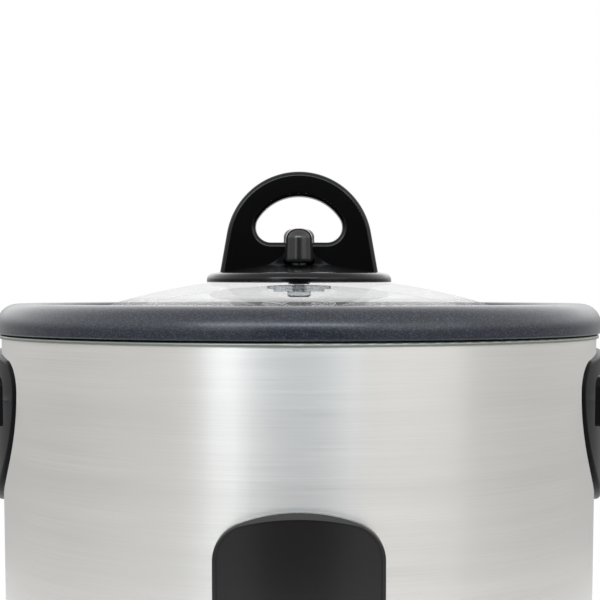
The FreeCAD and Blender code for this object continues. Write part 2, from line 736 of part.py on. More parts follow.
def hollow_ear():
    root = EAR_W / 2
    tip = root - EAR_TAPER
    tip_x = BODY_R + EAR_REACH
    ear_top = EAR_Z + EAR_H
    ear = prism([(BODY_R - 10, -root), (tip_x, -tip, EAR_TIP_R), (tip_x, tip, EAR_TIP_R), (BODY_R - 10, root)],
                level(EAR_Z), V(0, 0, EAR_H))
    upper = edges_where(ear, lambda p: abs(p.z - ear_top) < 0.01 and p.x > BODY_R - 9)
    ear = ear.makeFillet(EAR_ROUND, upper)
    lower = edges_where(ear, lambda p: abs(p.z - EAR_Z) < 0.01 and p.x > BODY_R - 9)
    ear = ear.makeFillet(2.0, lower)
    inner = root - EAR_SIDE_WALL
    pocket_x = tip_x - EAR_TIP_WALL
    near_x = BODY_R + HANDLE_PLATE_T + 1.5
    tip_r = EAR_TIP_R - EAR_TIP_WALL
    pocket = prism([(near_x, -inner, 3.0), (pocket_x, EAR_TAPER - inner, tip_r),
                    (pocket_x, inner - EAR_TAPER, tip_r), (near_x, inner, 3.0)],
                   level(EAR_Z - 5), V(0, 0, EAR_H - EAR_ROOF_T + 5))
    roof = edges_where(pocket, lambda p: abs(p.z - (ear_top - EAR_ROOF_T)) < 0.01)
    ear = ear.cut(pocket.makeFillet(2.5, roof))
    ear = ear.cut(Part.makeCylinder(BODY_R + FIT, EAR_H + 20, V(0, 0, EAR_Z - 10)))
    for hole in screw_holes_for_handles(SCREW_R + PIN_FIT):
        ear = ear.cut(hole)
    return ear


def handle_with_holes(side):
    handle = side_handle()
    if side < 0:
        handle = around(handle, 180)
    for hole in screw_holes_for_handles(SCREW_R + PIN_FIT):
        handle = handle.cut(hole)
    return handle


def handle_screws():
    screw = pan_screw(SCREW_R, SCREW_LENGTH, SCREW_HEAD_R, SCREW_HEAD_H)
    screw.rotate(ORIGIN, Y_AXIS, 90)
    inside_x = math.sqrt(SHELL_IN_R ** 2 - SCREW_HEAD_R ** 2) - FIT
    screw.translate(V(inside_x, 0, EAR_Z + EAR_H / 2))
    return Part.makeCompound([around(screw, turn) for turn in handle_screw_turns()])


# Control panel
# The panel's outline, pushed through the drum's front wall
def panel_block(inset, top, arch_r):
    half = PANEL_W / 2 - inset
    low = PANEL_Z + inset
    bends, side_z = arched_top(half, top, arch_r, PANEL_CORNER_R - inset, front)
    foot_r = PANEL_FOOT_CORNER_R - inset
    foot_x = half - foot_r
    foot_z = low + foot_r
    bends.append(bend(-foot_x, foot_z, foot_r, math.pi, math.pi * 1.5, front))
    bends.append(bend(foot_x, foot_z, foot_r, math.pi * 1.5, math.pi * 2, front))
    sides = [
        Part.makeLine(front(V(-foot_x, low, 0)), front(V(foot_x, low, 0))),
        Part.makeLine(front(V(half, foot_z, 0)), front(V(half, side_z, 0))),
        Part.makeLine(front(V(-half, side_z, 0)), front(V(-half, foot_z, 0)))]
    outline = Part.Wire(Part.__sortEdges__(bends + sides))
    return Part.Face(outline).extrude(V(0, CUT_RUN, 0))


def face_block(inset):
    return panel_block(inset, PANEL_FACE_TOP_Z + PANEL_FRAME_W - inset, PANEL_FACE_ARCH_R)


def panel_band(outer, inner):
    return tube(outer, inner, PANEL_Z - 5, PANEL_TOP_Z + 5)


def panel_frame():
    frame = panel_block(0, PANEL_TOP_Z, PANEL_ARCH_R).common(panel_band(BODY_R + PANEL_T, BODY_R + FIT))
    rim = edges_where(frame, on_radius(BODY_R + PANEL_T))
    frame = frame.makeFillet(PANEL_ROUND, rim)
    # The brow is the flank of a leaning cylinder that the rest of the frame lies within
    slope = V(0, 1, 1).normalize()
    crease = V(0, -(BODY_R + PANEL_T), PANEL_TOP_Z - PANEL_BROW_H)
    start = crease + V(0, 1, -1).normalize() * PANEL_BROW_R - slope * PANEL_DROP * 2
    frame = frame.common(Part.makeCylinder(PANEL_BROW_R, PANEL_DROP * 3, start, slope))
    frame = frame.cut(face_block(PANEL_FRAME_W + PANEL_LEDGE_W))
    return frame.cut(face_block(PANEL_FRAME_W).common(panel_band(BODY_R + 20, PANEL_BACK_R)))


def lens_places():
    return [-LENS_PITCH / 2, LENS_PITCH / 2]


def board_post_places():
    x = BOARD_W / 2 - BOARD_POST_R - 1
    return [-x, x]


def panel_face():
    face = face_block(PANEL_FRAME_W + FIT).common(panel_band(PANEL_FACE_R, PANEL_BACK_R + FIT))
    low = LEVER_KNOB_Z - LEVER_NECK_H / 2 - NECK_DROP - 1
    high = LEVER_KNOB_Z + LEVER_NECK_H / 2 + 1
    face = face.cut(front_prism(rectangle(LEVER_NECK_W + 2, high - low, (low + high) / 2, 2.5)))
    board_y = -(BODY_R - BOARD_BACK)
    for x in lens_places():
        face = face.cut(Part.makeCylinder(LENS_R + FIT, 60, V(x, -(BODY_R + 30), LENS_Z), Y_AXIS))
    for x in board_post_places():
        start_y = -(PANEL_BACK_R + 0.5)
        face = face.fuse(Part.makeCylinder(BOARD_POST_R, board_y - start_y, V(x, start_y, LENS_Z), Y_AXIS))
    return face.removeSplitter()


def lamp_lens(x):
    edge_x = abs(x) + LENS_R + LENS_FLANGE_W
    flange_y = -math.sqrt(PANEL_BACK_R ** 2 - edge_x ** 2) + FIT
    tip_y = -math.sqrt(PANEL_FACE_R ** 2 - x ** 2) - LENS_PROUD
    lens = Part.makeCylinder(LENS_R, flange_y + 1 - tip_y, V(x, tip_y, LENS_Z), Y_AXIS)
    dome = edges_where(lens, lambda p: abs(p.y - tip_y) < 0.01)
    lens = lens.makeFillet(0.9, dome)
    flange = Part.makeCylinder(LENS_R + LENS_FLANGE_W, 1.0, V(x, flange_y, LENS_Z), Y_AXIS)
    return lens.fuse(flange).removeSplitter()


def lamps():
    y = -(BODY_R - BOARD_BACK) - LAMP_R
    glow = [Part.makeCylinder(LAMP_R, LAMP_LENGTH, V(x, y, LENS_Z - LAMP_LENGTH / 2)) for x in lens_places()]
    return Part.makeCompound([tube_lamp.makeFillet(LAMP_R * 0.8, [tube_lamp.Edges[0]]) for tube_lamp in glow])


def lamp_board():
    y = -(BODY_R - BOARD_BACK)
    half = BOARD_W / 2
    return box(-half, half, y, y + BOARD_T, LENS_Z - BOARD_H / 2, LENS_Z + BOARD_H / 2)


# Lever switch
def lever_arm():
    half = ARM_W / 2
    fork = FORK_W / 2
    slot = ROD_R + FORK_SLOT_GAP
    neck_y = -(ROD_R + FORK_SLOT_GAP + 6)
    arm = box(-half, half, ARM_FRONT_Y, neck_y, ARM_Z, ARM_TOP_Z)
    arm = arm.fuse(box(-fork, fork, neck_y - 2, FORK_TIP, ARM_Z, ARM_TOP_Z))
    arm = arm.cut(box(-slot, slot, -slot - 1, FORK_TIP + 1, ARM_Z - 1, ARM_TOP_Z + 1))
    arm = arm.fuse(box(-half, half, ARM_FRONT_Y, ARM_FRONT_Y + ARM_T, ARM_Z, ARM_Z + ARM_UPRIGHT_H))
    length = ARM_W + 3
    arm = arm.fuse(Part.makeCylinder(KNUCKLE_R, length, V(-length / 2, PIVOT_Y, PIVOT_Z), X_AXIS))
    bore = Part.makeCylinder(LEVER_PIN_R + PIN_FIT, length + 10, V(-length / 2 - 5, PIVOT_Y, PIVOT_Z), X_AXIS)
    return arm.cut(bore).removeSplitter()


def lever_knob():
    half = LEVER_NECK_W / 2
    low = LEVER_KNOB_Z - LEVER_NECK_H / 2
    front_y = PADDLE_BACK_Y - LEVER_PADDLE_T
    neck = box(-half, half, PADDLE_BACK_Y - 1, ARM_FRONT_Y, low, low + LEVER_NECK_H)
    paddle = prism(rectangle(LEVER_PADDLE_W, LEVER_PADDLE_H, LEVER_KNOB_Z, LEVER_PADDLE_H * 0.42),
                   lambda p: V(p.x, front_y, p.y), V(0, LEVER_PADDLE_T, 0))
    rim = edges_where(paddle, lambda p: abs(p.y - front_y) < 0.01)
    return paddle.makeFillet(2.2, rim).fuse(neck).removeSplitter()


def ear_gap():
    return (ARM_W + 3) / 2 + RUN


def lever_bracket():
    inner = ear_gap()
    outer = inner + EAR_PLATE_T
    y0 = PIVOT_Y - 5
    y1 = PIVOT_Y + 5
    low = PIVOT_Z - 4
    bracket = box(-outer, outer, y0, y1, LINER_Z - EAR_PLATE_T, LINER_Z)
    for side in (-1, 1):
        x0 = min(side * inner, side * outer)
        bracket = bracket.fuse(box(x0, x0 + EAR_PLATE_T, y0, y1, low, LINER_Z))
    bore = Part.makeCylinder(LEVER_PIN_R + PIN_FIT, 60, V(-30, PIVOT_Y, PIVOT_Z), X_AXIS)
    return bracket.cut(bore).removeSplitter()


def lever_pin():
    half = ear_gap() + EAR_PLATE_T + 0.8
    return Part.makeCylinder(LEVER_PIN_R, 2 * half, V(-half, PIVOT_Y, PIVOT_Z), X_AXIS)


def contact_block():
    y0 = PIVOT_Y + 13
    return box(CONTACT_SIDE, CONTACT_SIDE + CONTACT_BLOCK_W, y0, y0 + CONTACT_BLOCK_D,
               LINER_Z - CONTACT_BLOCK_H, LINER_Z)


def contact_leaves():
    y0 = PIVOT_Y + 13 + CONTACT_BLOCK_D / 2 - LEAF_W / 2
    upper_z = LINER_Z - 1.8
    lower_z = LINER_Z - 3.4
    upper = box(-3, CONTACT_SIDE, y0, y0 + LEAF_W, upper_z, upper_z + LEAF_T)
    lower = box(-5, CONTACT_SIDE, y0, y0 + LEAF_W, lower_z, lower_z + LEAF_T)
    rivet = Part.makeCylinder(1.4, 0.6, V(0, y0 + LEAF_W / 2, upper_z - 0.6))
    return Part.makeCompound([upper.fuse(rivet).removeSplitter(), lower])


# Heating plate and what hangs on it
def terminal_places():
    angle = math.radians(110)
    x = HEATER_RING_R * math.sin(angle / 6)
    y = HEATER_RING_R * math.cos(angle / 6)
    return [(-x, y), (x, y)]


def heater_ring(radius):
    circle = Part.Wire(Part.makeCircle(radius, V(HEATER_RING_R, 0, PLATE_Z), Y_AXIS))
    x, y = terminal_places()[1]
    gap = 2 * math.degrees(math.atan2(x, y))
    ring = Part.Face(circle).revolve(ORIGIN, Z_AXIS, 360 - gap)
    return around(ring, 90 + gap / 2)


def heating_plate():
    hole_r = SLEEVE_R + 1.0
    plate = revolve([
        (hole_r, PLATE_Z),
        (PLATE_R, PLATE_Z, 2.0),
        (PLATE_R, PLATE_TOP_Z, 5.0),
        (hole_r, PLATE_TOP_Z, 1.0)])
    leg = Part.makeCylinder(PLATE_LEG_R, PLATE_LEG_H + 3, V(PLATE_R - 12, 0, LINER_FLOOR_Z))
    for foot in around_all(leg, 3, 30):
        plate = plate.fuse(foot)
    plate = plate.cut(heater_ring(HEATER_TUBE_R + FIT))
    for x, y in terminal_places():
        plate = plate.cut(Part.makeSphere(HEATER_TUBE_R + 1, V(x, y, PLATE_Z)))
    return plate.removeSplitter()


def heater_tube():
    tube_ring = heater_ring(HEATER_TUBE_R)
    for x, y in terminal_places():
        low = LINER_Z - TERMINAL_DROP
        tube_ring = tube_ring.fuse(Part.makeCylinder(TERMINAL_R, PLATE_Z - low, V(x, y, low)))
    return tube_ring.removeSplitter()


def terminal_bushes():
    low = LINER_FLOOR_Z - BUSH_H + 2
    bushes = []
    for x, y in terminal_places():
        bush = Part.makeCylinder(BUSH_R, BUSH_H - 2, V(x, y, low))
        bush = bush.fuse(Part.makeCylinder(BUSH_R + 1.6, 2, V(x, y, LINER_FLOOR_Z)))
        bushes.append(bush.cut(Part.makeCylinder(TERMINAL_R + FIT, 40, V(x, y, low - 10))).removeSplitter())
    return Part.makeCompound(bushes)


def thermal_fuse():
    z = PLATE_Z - FUSE_R
    y = FUSE_INSET - PLATE_R
    half = FUSE_LENGTH / 2 + FUSE_LEAD_LENGTH
    fuse = Part.makeCylinder(FUSE_R, FUSE_LENGTH, V(-FUSE_LENGTH / 2, y, z), X_AXIS)
    lead = Part.makeCylinder(FUSE_LEAD_R, 2 * half, V(-half, y, z), X_AXIS)
    return fuse.fuse(lead).removeSplitter()


def warm_band():
    low = LINER_FLOOR_Z + WARM_BAND_RISE
    inner = LINER_OUT_R + FIT
    band = tube(inner + WARM_BAND_T, inner, low, low + WARM_BAND_H)
    return band.cut(box(-6, 6, 0, BODY_R, low - 1, low + WARM_BAND_H + 1))


# Sensor
def sensor_sleeve():
    lip_r = MAGNET_R + SLEEVE_LIP_GAP
    return revolve([
        (lip_r, LINER_Z),
        (SLEEVE_R, LINER_Z),
        (SLEEVE_R, LINER_FLOOR_Z),
        (SLEEVE_FLANGE_R, LINER_FLOOR_Z),
        (SLEEVE_FLANGE_R, LINER_FLOOR_Z + SLEEVE_T),
        (SLEEVE_R, LINER_FLOOR_Z + SLEEVE_T),
        (SLEEVE_R, PLATE_TOP_Z - SLEEVE_BELOW_TOP),
        (SENSOR_R + RUN, PLATE_TOP_Z - SLEEVE_BELOW_TOP),
        (SENSOR_R + RUN, LINER_FLOOR_Z),
        (lip_r, LINER_FLOOR_Z)])


def sensor_cup():
    low = SENSOR_TOP_Z - SENSOR_SKIRT_H
    return revolve([
        (0, SENSOR_TOP_Z),
        (SENSOR_R, SENSOR_TOP_Z, SENSOR_ROUND),
        (SENSOR_R, low),
        (SENSOR_R - SENSOR_T, low),
        (SENSOR_R - SENSOR_T, FERRITE_TOP_Z),
        (0, FERRITE_TOP_Z)])


def sensor_ferrite():
    return Part.makeCylinder(FERRITE_R, FERRITE_T, V(0, 0, FERRITE_Z))


def magnet():
    return Part.makeCylinder(MAGNET_R, MAGNET_T, V(0, 0, MAGNET_Z))


def magnet_rod():
    low = ARM_Z - ROD_BELOW_ARM
    rod = Part.makeCylinder(ROD_R, MAGNET_Z - low, V(0, 0, low))
    return rod.fuse(Part.makeCylinder(COLLAR_R, COLLAR_T, V(0, 0, COLLAR_Z))).removeSplitter()


# Two arcs that leave p0 along t0 and arrive at p1 along t1
def biarc(p0, t0, p1, t1):
    chord = p1 - p0
    both = t0 + t1
    a = both.dot(both) - 4
    b = -2 * chord.dot(both)
    c = chord.dot(chord)
    d = (-b - math.sqrt(b * b - 4 * a * c)) / (2 * a)
    if d < 0:
        d = (-b + math.sqrt(b * b - 4 * a * c)) / (2 * a)
    q0 = p0 + t0 * d
    q1 = p1 - t1 * d
    joint = (q0 + q1) * 0.5
    arcs = []
    for start, corner, end in ((p0, q0, joint), (joint, q1, p1)):
        half = (start - corner).getAngle(end - corner) / 2
        inward = ((start + end) * 0.5 - corner).normalize()
        middle = corner + inward * (d / math.cos(half) - d * math.tan(half))
        arcs.append(Part.Arc(start, middle, end).toShape())
    return arcs


def coil_spring(radius, wire_r, low, high):
    low = low + wire_r + FIT
    high = high - wire_r - FIT
    climb = (high - low) / (2 * math.pi * COIL_TURNS)

    def stop(i):
        a = i * math.pi / 2
        place = V(radius * math.cos(a), radius * math.sin(a), low + climb * a)
        heading = V(-radius * math.sin(a), radius * math.cos(a), climb).normalize()
        return place, heading

    edges = []
    for i in range(COIL_TURNS * 4):
        p0, t0 = stop(i)
        p1, t1 = stop(i + 1)
        edges = edges + biarc(p0, t0, p1, t1)
    start, heading = stop(0)
    section = Part.Wire(Part.makeCircle(wire_r, start, heading))
    return Part.Wire(edges).makePipeShell([section], True, False)


def sensor_spring():
    return coil_spring(SENSOR_COIL_R, SENSOR_WIRE_R, LINER_FLOOR_Z, FERRITE_Z)


def release_spring():
    return coil_spring(RELEASE_COIL_R, RELEASE_WIRE_R, MAGNET_TOP_Z, FERRITE_Z)


# Power inlet
def inlet_cavity():
    half = INLET_CAVITY_W / 2
    low = INLET_Z - INLET_CAVITY_H / 2
    high = INLET_Z + INLET_CAVITY_H / 2
    return [(-half, low, 1.5), (half, low, 1.5), (half, high - INLET_BEVEL, 1.0),
            (half - INLET_BEVEL, high, 1.0), (INLET_BEVEL - half, high, 1.0), (-half, high - INLET_BEVEL, 1.0)]


def power_inlet():
    mouth_y = BODY_R + INLET_PROUD
    flange = back_prism(rectangle(INLET_FLANGE_W, INLET_H + 1, INLET_Z, 7.0))
    flange = flange.common(tube(BODY_R + INLET_FLANGE_T, BODY_R + FIT, INLET_Z - 30, INLET_Z + 30))
    shroud = prism(rectangle(INLET_W, INLET_H, INLET_Z, INLET_CORNER_R),
                   lambda p: V(p.x, mouth_y, p.y), V(0, -INLET_PROUD - INLET_DEPTH, 0))
    mouth = edges_where(shroud, lambda p: abs(p.y - mouth_y) < 0.01)
    inlet = shroud.makeFillet(1.2, mouth).fuse(flange)
    inlet = inlet.cut(prism(inlet_cavity(), lambda p: V(p.x, mouth_y + 1, p.y), V(0, -INLET_CAVITY_DEPTH - 1, 0)))
    for x, z in blade_places():
        wide = BLADE_W / 2 + PIN_FIT
        tall = BLADE_H / 2 + PIN_FIT
        inlet = inlet.cut(box(x - wide, x + wide, 0, mouth_y, z - tall, z + tall))
    for x in (-INLET_SCREW_PITCH / 2, INLET_SCREW_PITCH / 2):
        inlet = inlet.cut(Part.makeCylinder(SCREW_R + PIN_FIT, 60, V(x, BODY_R - 40, INLET_Z), Y_AXIS))
    return inlet.removeSplitter()


def blade_places():
    return [(-BLADE_PITCH / 2, INLET_Z - BLADE_STAGGER / 2), (BLADE_PITCH / 2, INLET_Z - BLADE_STAGGER / 2),
            (0, INLET_Z + BLADE_STAGGER / 2)]


def inlet_blades():
    front_y = BODY_R + INLET_PROUD - BLADE_SINK
    back_y = BODY_R - INLET_DEPTH - BLADE_TAIL
    return Part.makeCompound([
        box(x - BLADE_W / 2, x + BLADE_W / 2, back_y, front_y, z - BLADE_H / 2, z + BLADE_H / 2)
        for x, z in blade_places()])


def inlet_screws():
    screws = []
    for x in (-INLET_SCREW_PITCH / 2, INLET_SCREW_PITCH / 2):
        screw = pan_screw(SCREW_R, SCREW_LENGTH, SCREW_HEAD_R, SCREW_HEAD_H)
        screw.rotate(ORIGIN, X_AXIS, 90)
        near_x = abs(x) - SCREW_HEAD_R
        outside_y = math.sqrt((BODY_R + INLET_FLANGE_T) ** 2 - near_x ** 2) + FIT
        screw.translate(V(x, outside_y, INLET_Z))
        screws.append(screw)
    return Part.makeCompound(screws)


NODES = {
    "lid_glass": lid_glass,
    "lid_band": lid_band,
    "lid_handle": lid_handle,
    "handle_gasket": handle_gasket,
    "under_gasket": under_gasket,
    "clamp_washer": clamp_washer,
    "clamp_screw": clamp_screw,
    "vent_knob": vent_knob,
    "inner_pot": inner_pot,
    "outer_shell": outer_shell,
    "inner_liner": inner_liner,
    "base_tray": base_tray,
    "bottom_plate": bottom_plate,
    "feet": feet,
    "bottom_screws": bottom_screws,
    "liner_screws": liner_screws,
    "side_handle_right": lambda: handle_with_holes(1),
    "side_handle_left": lambda: handle_with_holes(-1),
    "handle_screws": handle_screws,
    "panel_frame": panel_frame,
    "panel_face": panel_face,
    "cook_lens": lambda: lamp_lens(lens_places()[0]),
    "warm_lens": lambda: lamp_lens(lens_places()[1]),
    "lamps": lamps,
    "lamp_board": lamp_board,
    "lever_arm": lever_arm,
    "lever_knob": lever_knob,
    "lever_bracket": lever_bracket,
    "lever_pin": lever_pin,
    "contact_block": contact_block,
    "contact_leaves": contact_leaves,
    "heating_plate": heating_plate,
    "heater_tube": heater_tube,
    "terminal_bushes": terminal_bushes,
    "thermal_fuse": thermal_fuse,
    "warm_band": warm_band,
    "sensor_sleeve": sensor_sleeve,
    "sensor_cup": sensor_cup,
    "sensor_ferrite": sensor_ferrite,
    "sensor_spring": sensor_spring,
    "magnet": magnet,
    "magnet_rod": magnet_rod,
    "release_spring": release_spring,
    "power_inlet": power_inlet,
    "inlet_blades": inlet_blades,
    "inlet_screws": inlet_screws,
}

os.makedirs("parts", exist_ok=True)
for name, make in NODES.items():
    make().exportStep("parts/" + name + ".step")
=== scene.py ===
import json
import math

import bmesh
import bpy
from mathutils import Euler, Matrix, Vector


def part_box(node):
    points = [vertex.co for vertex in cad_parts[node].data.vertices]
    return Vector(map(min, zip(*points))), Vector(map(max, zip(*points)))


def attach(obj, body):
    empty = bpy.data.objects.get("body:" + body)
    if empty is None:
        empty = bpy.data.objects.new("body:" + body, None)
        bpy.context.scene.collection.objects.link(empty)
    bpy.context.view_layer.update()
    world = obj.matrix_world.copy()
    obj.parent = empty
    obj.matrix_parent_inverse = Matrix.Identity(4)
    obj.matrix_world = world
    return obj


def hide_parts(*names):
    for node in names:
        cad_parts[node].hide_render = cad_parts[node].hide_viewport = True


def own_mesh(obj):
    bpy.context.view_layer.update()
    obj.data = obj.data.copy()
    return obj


bl_info = {
    "name": "Rice cooker",
    "version": (1, 0, 0),
    "blender": (4, 5, 0),
    "location": "View3D > Sidebar > Cooker",
    "description": "Gives a drum-shaped rice cooker its finishes, its turned and moulded pieces and its studio",
    "category": "Object",
}

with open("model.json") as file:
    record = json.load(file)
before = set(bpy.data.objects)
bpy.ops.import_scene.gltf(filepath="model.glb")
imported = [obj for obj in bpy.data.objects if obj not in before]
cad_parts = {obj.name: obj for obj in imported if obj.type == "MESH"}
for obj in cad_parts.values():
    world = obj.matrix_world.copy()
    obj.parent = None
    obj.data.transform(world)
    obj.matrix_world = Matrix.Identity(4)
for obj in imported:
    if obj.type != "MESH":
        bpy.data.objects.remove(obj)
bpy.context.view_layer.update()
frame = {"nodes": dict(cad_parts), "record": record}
NODES = frame["nodes"]
SLOT_OF = {entry["node"]: entry["material_slot"] for entry in frame["record"]["subparts"]}
BODY_OF = {node: body for body, members in frame["record"]["behaviour"]["bodies"].items() for node in members}
TRAVEL = {joint["name"]: joint["range_m"][1] - joint["range_m"][0]
          for joint in frame["record"]["behaviour"]["joints"] if joint["type"] == "slide"}

WELD = 2e-6              # corners of neighbouring facets closer than this are one, in metres
CREASE = 32.0            # degrees, for moulded and pressed pieces
TURNED_CREASE = 40.0     # degrees, for turned pieces
COIL_CREASE = 80.0       # degrees, for the springs' thin wire
POT_FACETS = 240
GLASS_FACETS = 200
GLASS_STEPS = 40
SCREW_FACETS = 36


# Sizes and colours

def length(name, description, default):
    return bpy.props.FloatProperty(name=name, description=description, default=default, unit="LENGTH", precision=4)


def colour(name, description, default):
    return bpy.props.FloatVectorProperty(name=name, description=description, default=default, subtype="COLOR",
                                         size=3, min=0.0, max=1.0)


class CookerSizes(bpy.types.PropertyGroup):
    pot_wall: length("Pot wall", "Thickness of the pot's sheet", 0.002)
    pot_corner: length("Pot corner", "Bend between the pot's floor and wall", 0.030)
    pot_jacket: length("Pot inset", "From the rim's outside in to the pot's wall", 0.023)
    ledge_width: length("Lid ledge", "Width of the ledge that carries the lid", 0.009)
    recess_depth: length("Lid recess", "From the lid's ledge up to the rim's crest", 0.0195)
    rim_height: length("Rim height", "Height of the rolled rim", 0.0135)
    rim_shoulder: length("Rim shoulder", "Bend at the top of the rolled rim", 0.0096)
    glass_bend: length("Glass bend", "Radius of the lid's outer face", 0.305)
    glass_wall: length("Glass wall", "Thickness of the lid's glass", 0.004)
    glass_hole: length("Glass hole", "Radius of the hole for the clamp screw", 0.0053)
    plate_wall: length("Grip plate", "Thickness of the side handles' plates, with a little to spare", 0.0034)
    screw_head: length("Screw head", "Radius of the pan heads", 0.004)
    screw_rise: length("Screw head height", "Height of the pan heads", 0.0022)
    screw_shank: length("Screw shank", "Radius of the shanks", 0.002)
    screw_length: length("Screw length", "Length under the head", 0.012)


class CookerColours(bpy.types.PropertyGroup):
    steel: colour("Drum", "Brushed steel of the drum", (0.748, 0.733, 0.704))
    coat: colour("Pot coat", "Dark non-stick coat", (0.013, 0.015, 0.021))
    flake: colour("Pot flakes", "Bright specks in the coat", (0.085, 0.098, 0.13))
    glass: colour("Lid glass", "Tint of the clear glass", (0.98, 1.0, 0.995))
    black: colour("Handles", "Gloss black moulding", (0.0017, 0.0016, 0.0016))
    grip: colour("Grips", "Satin black moulding of the side handles", (0.0045, 0.0045, 0.0048))
    panel: colour("Panel", "Satin black moulding", (0.010, 0.010, 0.0092))
    base: colour("Base", "Grained black moulding", (0.020, 0.020, 0.021))
    floor: colour("Floor", "Pale table top", (0.74, 0.74, 0.74))


def sizes():
    return bpy.context.scene.cooker_sizes


def colours():
    return bpy.context.scene.cooker_colours


# Shader nodes

class Signal:
    """One output of a finish's nodes. Sums and products of signals add Math nodes."""

    def __init__(self, finish, socket):
        self.finish = finish
        self.socket = socket

    def math(self, operation, first, second):
        return self.finish.add("ShaderNodeMath", {"operation": operation}, {0: first, 1: second})

    def __add__(self, other):
        return self.math("ADD", self, other)

    def __radd__(self, other):
        return self.math("ADD", other, self)

    def __mul__(self, other):
        return self.math("MULTIPLY", self, other)

    def __rmul__(self, other):
        return self.math("MULTIPLY", other, self)


class Finish:
    """A node tree that is filled one node at a time."""

    def __init__(self, tree):
        self.tree = tree

    def add(self, kind, settings, inputs, output=0):
        """Adds a node, sets it up, feeds its inputs and gives one of its outputs."""
        node = self.tree.nodes.new(kind)
        for key, value in settings.items():
            setattr(node, key, value)
        self.feed(node, inputs)
        return Signal(self, node.outputs[output])

    def feed(self, node, inputs):
        """Links signals to a node's inputs, and sets the inputs that are plain values."""
        for key, value in inputs.items():
            if isinstance(value, Signal):
                self.tree.links.new(value.socket, node.inputs[key])
            elif node.inputs[key].type == "RGBA" and len(value) == 3:
                node.inputs[key].default_value = (*value, 1)
            else:
                node.inputs[key].default_value = value

    def place(self, scale):
        """The place on the object, stretched by the scale."""
        spot = self.add("ShaderNodeTexCoord", {}, {}, "Object")
        return self.add("ShaderNodeMapping", {}, {"Vector": spot, "Scale": scale})

    def reach(self):
        """The distance from the object's upright axis."""
        return self.add("ShaderNodeVectorMath", {"operation": "LENGTH"}, {0: self.place((1, 1, 0))}, "Value")

    def noise(self, scale, detail=4.0, rough=0.55):
        return self.add("ShaderNodeTexNoise", {},
                        {"Vector": self.place(scale), "Scale": 1.0, "Detail": detail, "Roughness": rough})

    def cells(self, scale):
        return self.add("ShaderNodeTexVoronoi", {}, {"Vector": self.place(scale), "Scale": 1.0}, "Color")

    def mix(self, share, first, second):
        return self.add("ShaderNodeMix", {"data_type": "RGBA"}, {0: share, 6: first, 7: second}, 2)

    def fit(self, value, low, high, start, end):
        """Eases from start to end while the value goes from low to high."""
        return self.add("ShaderNodeMapRange", {"interpolation_type": "SMOOTHSTEP"},
                        {"Value": value, "From Min": low, "From Max": high, "To Min": start, "To Max": end})

    def bump(self, height, strength, depth):
        return self.add("ShaderNodeBump", {}, {"Height": height, "Strength": strength, "Distance": depth})


def shade(tone, lift):
    """A colour made darker or lighter."""
    return tuple(min(1.0, part * lift) for part in tone)


# Finishes

def brushed_steel(finish):
    """Steel brushed round the drum, which blurs what it reflects upwards and downwards."""
    hair = finish.noise((16, 16, 2400), 5.0, 0.6)
    band = finish.noise((2.5, 2.5, 120), 3.0)
    grain = hair * 0.7 + band * 0.3
    tone = colours().steel
    return {"Base Color": finish.mix(grain, shade(tone, 0.88), shade(tone, 1.12)),
            "Metallic": 1.0,
            "Roughness": 0.24 + grain * 0.16,
            "Anisotropic": 0.85,
            "Anisotropic Rotation": 0.25,
            "Normal": finish.bump(hair, 0.06, 0.0002)}


def pot_coat(finish):
    """A dark non-stick coat with bright specks."""
    speck = finish.cells((2000, 2000, 3600))
    bright = finish.fit(speck, 0.45, 1.0, 0.0, 0.6)
    cloud = finish.noise((60, 60, 60), 3.0)
    peel = finish.noise((700, 700, 700), 2.0)
    return {"Base Color": finish.mix(bright, colours().coat, colours().flake),
            "Metallic": 0.1 + bright * 0.3,
            "Roughness": 0.20 + cloud * 0.10,
            "Normal": finish.bump(peel, 0.08, 0.0002)}


def clear_glass(finish):
    """Thin clear glass, more reflective outside the handle's surroundings."""
    smear = finish.noise((25, 25, 25), 3.0)
    tone = colours().glass
    return {"Base Color": finish.mix(smear, shade(tone, 0.985), shade(tone, 1.01)),
            "Roughness": 0.0,
            "Transmission Weight": 1.0,
            "IOR": 1.4,
            "Alpha": finish.fit(finish.reach(), 0.076, 0.084, 0.12, 0.3)}


def band_steel(finish):
    """Bright steel, polished round the lid's edge."""
    turn = finish.noise((20, 20, 1500), 4.0)
    return {"Base Color": finish.mix(turn, (0.66, 0.66, 0.66), (0.80, 0.80, 0.79)),
            "Metallic": 1.0,
            "Roughness": 0.12 + turn * 0.10}


def moulding(tone, rough, index, grain_scale, grain_depth):
    """A moulded plastic: slow tone drift, uneven gloss and a fine grain."""
    def make(finish):
        drift = finish.noise((18, 18, 18), 2.0)
        grain = finish.noise((grain_scale,) * 3, 3.0)
        base = getattr(colours(), tone)
        return {"Base Color": finish.mix(drift, shade(base, 0.85), shade(base, 1.15)),
                "Roughness": rough - 0.04 + drift * 0.08,
                "IOR": index,
                "Normal": finish.bump(grain, 0.12, grain_depth)}
    return make


def plain(first, second, rough, metal, scale, depth=0.0002):
    """A plain finish that wanders between two tones."""
    def make(finish):
        wander = finish.noise(scale, 4.0)
        return {"Base Color": finish.mix(wander, first, second),
                "Metallic": metal,
                "Roughness": rough - 0.06 + wander * 0.12,
                "Normal": finish.bump(wander, 0.1, depth)}
    return make


def silicone(finish):
    """Pale, half-clear silicone."""
    cloud = finish.noise((300, 300, 300), 3.0)
    return {"Base Color": finish.mix(cloud, (0.88, 0.93, 0.96), (0.95, 0.98, 1.0)),
            "Roughness": 0.22 + cloud * 0.10,
            "Transmission Weight": 0.85,
            "IOR": 1.2}


